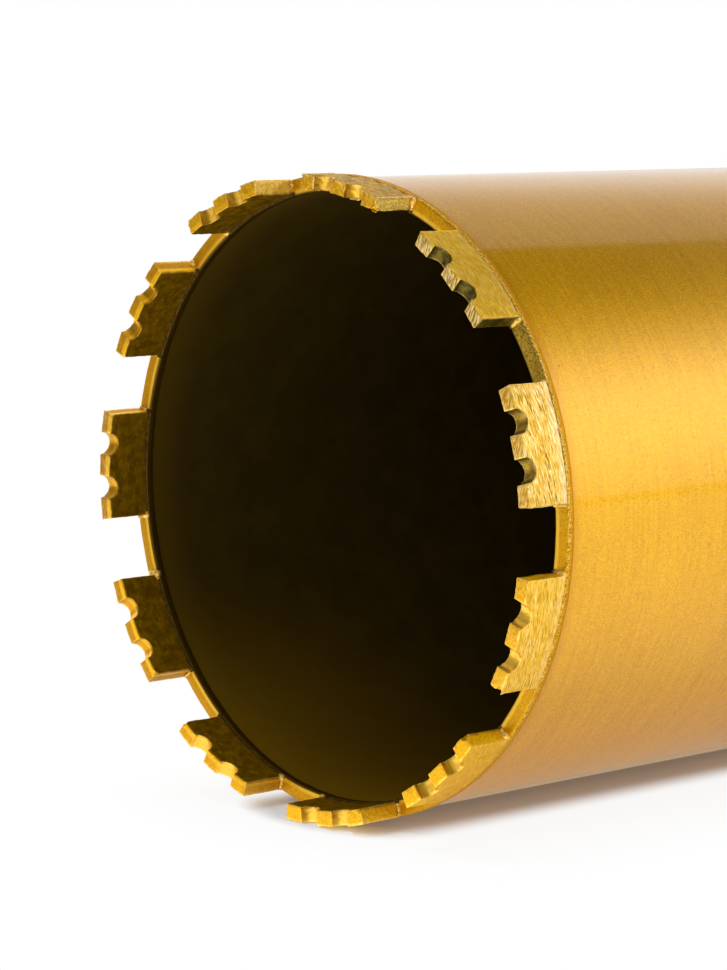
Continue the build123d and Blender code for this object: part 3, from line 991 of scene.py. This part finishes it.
class BIT_OT_back(bpy.types.Operator):
    """Model the closed back end: the welds, the threaded spindle hub and its thread"""

    bl_idname = "core_bit.back"
    bl_label = "Back and hub"

    def execute(self, context):
        settings = context.scene.core_bit_back
        barrel = context.scene.core_bit_barrel
        bore = barrel.diameter / 2 - barrel.wall
        rim = bore - settings.rim_gap
        lip = rim - settings.weld_bevel
        groove = PLATE_BACK_X - settings.weld_bevel
        crown = REAR_WELD_BACK_X - PLATE_BACK_X
        middle = (bore + lip) / 2

        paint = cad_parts["back_plate"]
        paint.data.materials.clear()
        paint.data.materials.append(bpy.data.materials["gold_paint"])

        weld = weld_metal()
        shoulder, top = PLATE_BACK_X + crown * 0.7, PLATE_BACK_X + crown * 0.95
        rear = turned(
            "rear_weld_bead",
            [
                (PLATE_BACK_X, bore), (groove, bore), (groove, rim), (PLATE_BACK_X, lip),
                (shoulder, lip + 0.45 * MM), (top, middle - 0.35 * MM), (top, middle + 0.35 * MM),
                (shoulder, bore - 0.45 * MM),
            ],
            steps=900,
        )
        rippled(rear, ripples=150, depth=0.42 * MM, root=(groove, middle), lean=1.1)
        dressed(rear, weld, "weld", "rear_weld")

        collar = settings.collar_diameter / 2
        leg = HUB_WELD_BACK_X - PLATE_BACK_X
        profile = ((0, 0), (0, 1), (0.25, 0.85), (0.50, 0.64), (0.64, 0.50), (0.85, 0.25), (1, 0))
        outline = [(PLATE_BACK_X + leg * along, collar + leg * out) for along, out in profile]
        fillet = turned("hub_weld_bead", outline, steps=720)
        rippled(fillet, ripples=76, depth=0.55 * MM, root=(PLATE_BACK_X, collar), lean=0.9)
        dressed(fillet, weld, "weld", "hub_weld")

        dressed(self.hub(settings), hub_metal(settings), "hub_steel", "spindle_hub")
        dressed(self.thread(settings), thread_metal(settings), "hub_steel")
        return {"FINISHED"}

    def bar(self, name, radius, front, back, sides):
        bpy.ops.mesh.primitive_cylinder_add(
            vertices=sides, radius=radius, depth=back - front, location=((front + back) / 2, 0, AXIS_HEIGHT),
            rotation=(0, math.pi / 2, 0),
        )
        return added(name)

    def hub(self, settings):
        """The hexagon, its collar and spigot in one, bored for the thread."""
        flat = settings.across_flats / 2
        corner = flat / math.cos(math.pi / 6)
        collar_back = PLATE_BACK_X + settings.collar_length
        hub = self.bar("spindle_hub_body", corner, PLATE_BACK_X + OVERRUN, HUB_BACK_X, 6)
        modified(hub, "BEVEL", width=0.5 * MM, segments=3, limit_method="ANGLE", angle_limit=math.radians(40))
        slope = math.tan(math.radians(30))
        crown_front, clear = HUB_BACK_X - (corner - flat) * slope, HUB_BACK_X + 2 * MM
        crown = turned(
            "crown_cutter",
            [(crown_front, corner), (crown_front, corner + 5 * MM), (clear, corner + 5 * MM),
             (clear, flat - 2 * MM / slope)],
            steps=HUB_SIDES,
        )
        cut(hub, crown)
        collar = self.bar("collar", settings.collar_diameter / 2, PLATE_BACK_X, collar_back, 160)
        break_edges(collar, [(collar_back, settings.collar_diameter / 2)], 1.0 * MM, 4)
        cut(hub, collar, "UNION")
        spigot_back = PLATE_BACK_X + OVERRUN
        spigot = self.bar("spigot", settings.spigot_diameter / 2, PLATE_FRONT_X, spigot_back, HUB_SIDES)
        cut(hub, spigot, "UNION")
        major = settings.thread_diameter / 2
        cut(hub, self.bar("bore_cutter", major, PLATE_FRONT_X - OVERRUN, HUB_BACK_X + OVERRUN, HUB_SIDES))
        bpy.ops.mesh.primitive_cone_add(
            vertices=HUB_SIDES, radius1=major - 0.4 * MM, radius2=major + 1.2 * MM, depth=1.6 * MM,
            location=(HUB_BACK_X - 0.2 * MM, 0, AXIS_HEIGHT), rotation=(0, math.pi / 2, 0),
        )
        cut(hub, added("lead_in_cutter"))
        return tidied(hub, 0.01 * MM)

    def thread(self, settings):
        """The spindle thread: one trapezoid ridge wound up the bore, cut square at both ends."""
        pitch = INCH / settings.threads_per_inch
        major, minor = settings.thread_diameter / 2 + 0.05 * MM, settings.tapped_diameter / 2
        bpy.ops.mesh.primitive_circle_add(vertices=4, radius=MM)
        thread = added("spindle_thread")
        ridge = ((-0.46, major), (-0.15, minor), (0.15, minor), (0.46, major))
        for vertex, (along, radius) in zip(thread.data.vertices, ridge):
            vertex.co = (along * pitch, 0, radius)
        turns = math.ceil((HUB_BACK_X - PLATE_FRONT_X) / pitch) + 2
        modified(thread, "SCREW", axis="X", screw_offset=pitch, iterations=turns, steps=64, render_steps=64)
        thread.data.transform(Matrix.Translation((PLATE_FRONT_X - pitch, 0, AXIS_HEIGHT)))
        for place, way in ((PLATE_FRONT_X + 0.4 * MM, -1), (HUB_BACK_X - 1.2 * MM, 1)):
            edit()
            bpy.ops.mesh.bisect(
                plane_co=(place, 0, AXIS_HEIGHT), plane_no=(way, 0, 0), use_fill=True, clear_outer=True,
                threshold=1e-7,
            )
            leave_edit()
        return tidied(thread)


def aimed(place, target):
    """The turn that points a lamp or camera at a place."""
    return (Vector(target) - Vector(place)).to_track_quat("-Z", "Y").to_euler()


class BIT_OT_stage(bpy.types.Operator):
    """Set up the pale floor, the soft lamps, the even surroundings and the camera"""

    bl_idname = "core_bit.stage"
    bl_label = "Stage"

    def execute(self, context):
        settings = context.scene.core_bit_stage
        bpy.ops.mesh.primitive_plane_add(size=FLOOR_SIZE)
        floor = added("floor")
        floor.data.materials.append(self.floor_finish(settings))

        mouth = (BARREL_FRONT_X, 0, AXIS_HEIGHT)
        lamps = (
            ("key_lamp", (0.80, -1.15, 0.36), (-0.08, -0.06, 0.07), 1.2, 1.3, settings.key_power),
            ("front_lamp", (-1.35, -0.35, 0.55), mouth, 0.9, 0.9, settings.front_power),
            ("top_lamp", (0.05, 0.30, 1.3), (0.0, 0.0, 0.0), 1.3, 0.9, settings.top_power),
        )
        for name, place, target, wide, high, watts in lamps:
            bpy.ops.object.light_add(type="AREA", location=place, rotation=aimed(place, target))
            lamp = context.object
            lamp.name = name
            lamp.data.shape = "RECTANGLE"
            lamp.data.size, lamp.data.size_y = wide, high
            lamp.data.energy = watts
            lamp.visible_glossy = False
        self.surroundings(context.scene, settings)

        place = Vector(settings.camera_place)
        bpy.ops.object.camera_add(location=place, rotation=aimed(place, place + Vector(settings.camera_way)))
        camera = context.object
        camera.name = "camera"
        camera.data.lens = settings.lens
        camera.data.clip_start = 0.01
        context.scene.camera = camera
        context.scene.view_settings.view_transform = "Standard"
        return {"FINISHED"}

    def floor_finish(self, settings):
        """A pale floor that keeps the bit's shadow near it and is plain white farther off."""
        floor = Finish("floor")
        ahead = (RING_FRONT - floor.x).above_zero()
        behind = (floor.x - HUB_BACK).above_zero()
        away = (floor.y * floor.y + (ahead * ahead + behind * behind) * 4.0).root()
        aside = (floor.y.band(30.0, 260.0) + floor.y.band(-60.0, -280.0)).band(0.0, 1.0)
        mirrored = floor.node("ShaderNodeLightPath", output="Is Glossy Ray")
        mirrored_ahead = mirrored * ahead.band(0.0, 8.0)
        mirrored_beside = mirrored * (1 - mirrored_ahead)
        shade = floor.layered(
            (1, 1, 1),
            (mirrored_ahead, (1.7, 1.7, 1.7)),
            (mirrored * floor.y.band(120.0, 400.0), (2.0, 2.0, 2.0)),
            (mirrored * floor.x.band(-330.0, -620.0) * aside, (settings.left * 1.4,) * 3),
            (mirrored_beside * away.band(70.0, 20.0), (1.0, 0.90, 0.72)),
            (mirrored_beside * floor.y.band(-60.0, -150.0), (1.0, 0.97, 0.55)),
        )
        white = floor.node("ShaderNodeEmission", None, Color=shade, Strength=1.0)
        pale = floor.node("ShaderNodeBsdfDiffuse", None, Color=settings.floor)
        glow = floor.node("ShaderNodeEmission", None, Color=(1, 1, 1), Strength=settings.floor_glow)
        near = floor.node("ShaderNodeAddShader", None, pale, glow)
        clear = (away.band(17.0, 29.0) * 0.9 + away.band(29.0, 80.0) * 0.1) * (1 - mirrored)
        reflected = mirrored_beside * (0.30 + away.band(10.0, 90.0) * 0.20) + mirrored_ahead
        shown = floor.node("ShaderNodeMixShader", None, clear + reflected, near, white)
        floor.surface_from(floor.node("ShaderNodeMixShader", None, floor.seen(), pale, shown))
        return floor.material

    def surroundings(self, scene, settings):
        """White all round, dimmer overhead and ahead, as under a backdrop that sweeps up behind the bit."""
        scene.world = bpy.data.worlds.new("studio")
        studio = Recipe(scene.world, "ShaderNodeOutputWorld")
        way = studio.node("ShaderNodeTexCoord", output="Generated")
        along, back, up = studio.parts(way)
        camera_side = (0.667, -0.70, 0.255)
        facing = studio.node("ShaderNodeVectorMath", {"operation": "DOT_PRODUCT"}, way, camera_side, output=1)
        sheen = facing.band(0.55, 1.0) * 0.15 + facing.band(0.78, 0.99) * settings.glow
        glow = 1 + sheen * up.band(-0.16, 0.30) + back.band(0.8, 0.97) * 1.2
        ceiling = up.band(0.38, 0.72) * back.band(0.18, 0.13) * along.band(0.25, 0.6)
        backdrop = up.band(0.3, 0.6) * back.band(0.13, 0.18)
        straight_ahead = along.band(-0.84, -0.95) * back.band(-0.40, -0.05)
        left = along.band(-0.15, -0.5) * (1 - straight_ahead) * up.band(0.95, 0.85) * (1 - settings.left)
        strength = glow * (1 - ceiling * (1 - settings.ceiling)) * (1 - left)
        strength = strength * (1 - backdrop * (1 - settings.backdrop))
        white = studio.node("ShaderNodeBackground", None, Color=(1, 1, 1), Strength=strength)
        fill = studio.node("ShaderNodeBackground", None, Color=(1, 1, 1), Strength=settings.fill)
        studio.surface_from(studio.node("ShaderNodeMixShader", None, studio.seen(), fill, white))


SETTINGS = (
    ("core_bit_barrel", BarrelSettings), ("core_bit_crown", CrownSettings), ("core_bit_back", BackSettings),
    ("core_bit_stage", StageSettings),
)
STEPS = (BIT_OT_barrel, BIT_OT_crown_ring, BIT_OT_segments, BIT_OT_braze, BIT_OT_back, BIT_OT_stage)


class BIT_PT_sidebar(bpy.types.Panel):
    """The steps that build the bit, and the sizes and colours they use"""

    bl_idname = "BIT_PT_sidebar"
    bl_label = "Diamond Core Bit"
    bl_space_type = "VIEW_3D"
    bl_region_type = "UI"
    bl_category = "Core Bit"

    def draw(self, context):
        layout = self.layout
        for step in STEPS:
            layout.operator(step.bl_idname, text=step.bl_label)
        for name, group in SETTINGS:
            box = layout.box()
            box.label(text=group.__name__.replace("Settings", ""))
            for key in group.__annotations__:
                box.prop(getattr(context.scene, name), key)


CLASSES = tuple(group for _, group in SETTINGS) + STEPS + (BIT_PT_sidebar,)


def register():
    for each in CLASSES:
        bpy.utils.register_class(each)
    for name, group in SETTINGS:
        setattr(bpy.types.Scene, name, PointerProperty(type=group))


def unregister():
    for name, _ in SETTINGS:
        delattr(bpy.types.Scene, name)
    for each in reversed(CLASSES):
        bpy.utils.unregister_class(each)


def main():
    register()
    bpy.ops.object.select_all(action="DESELECT")
    bpy.ops.core_bit.barrel()
    bpy.ops.core_bit.crown_ring()
    bpy.ops.core_bit.segments()
    bpy.ops.core_bit.braze()
    bpy.ops.core_bit.back()
    bpy.ops.core_bit.stage()


if __name__ == "__main__":
    main()
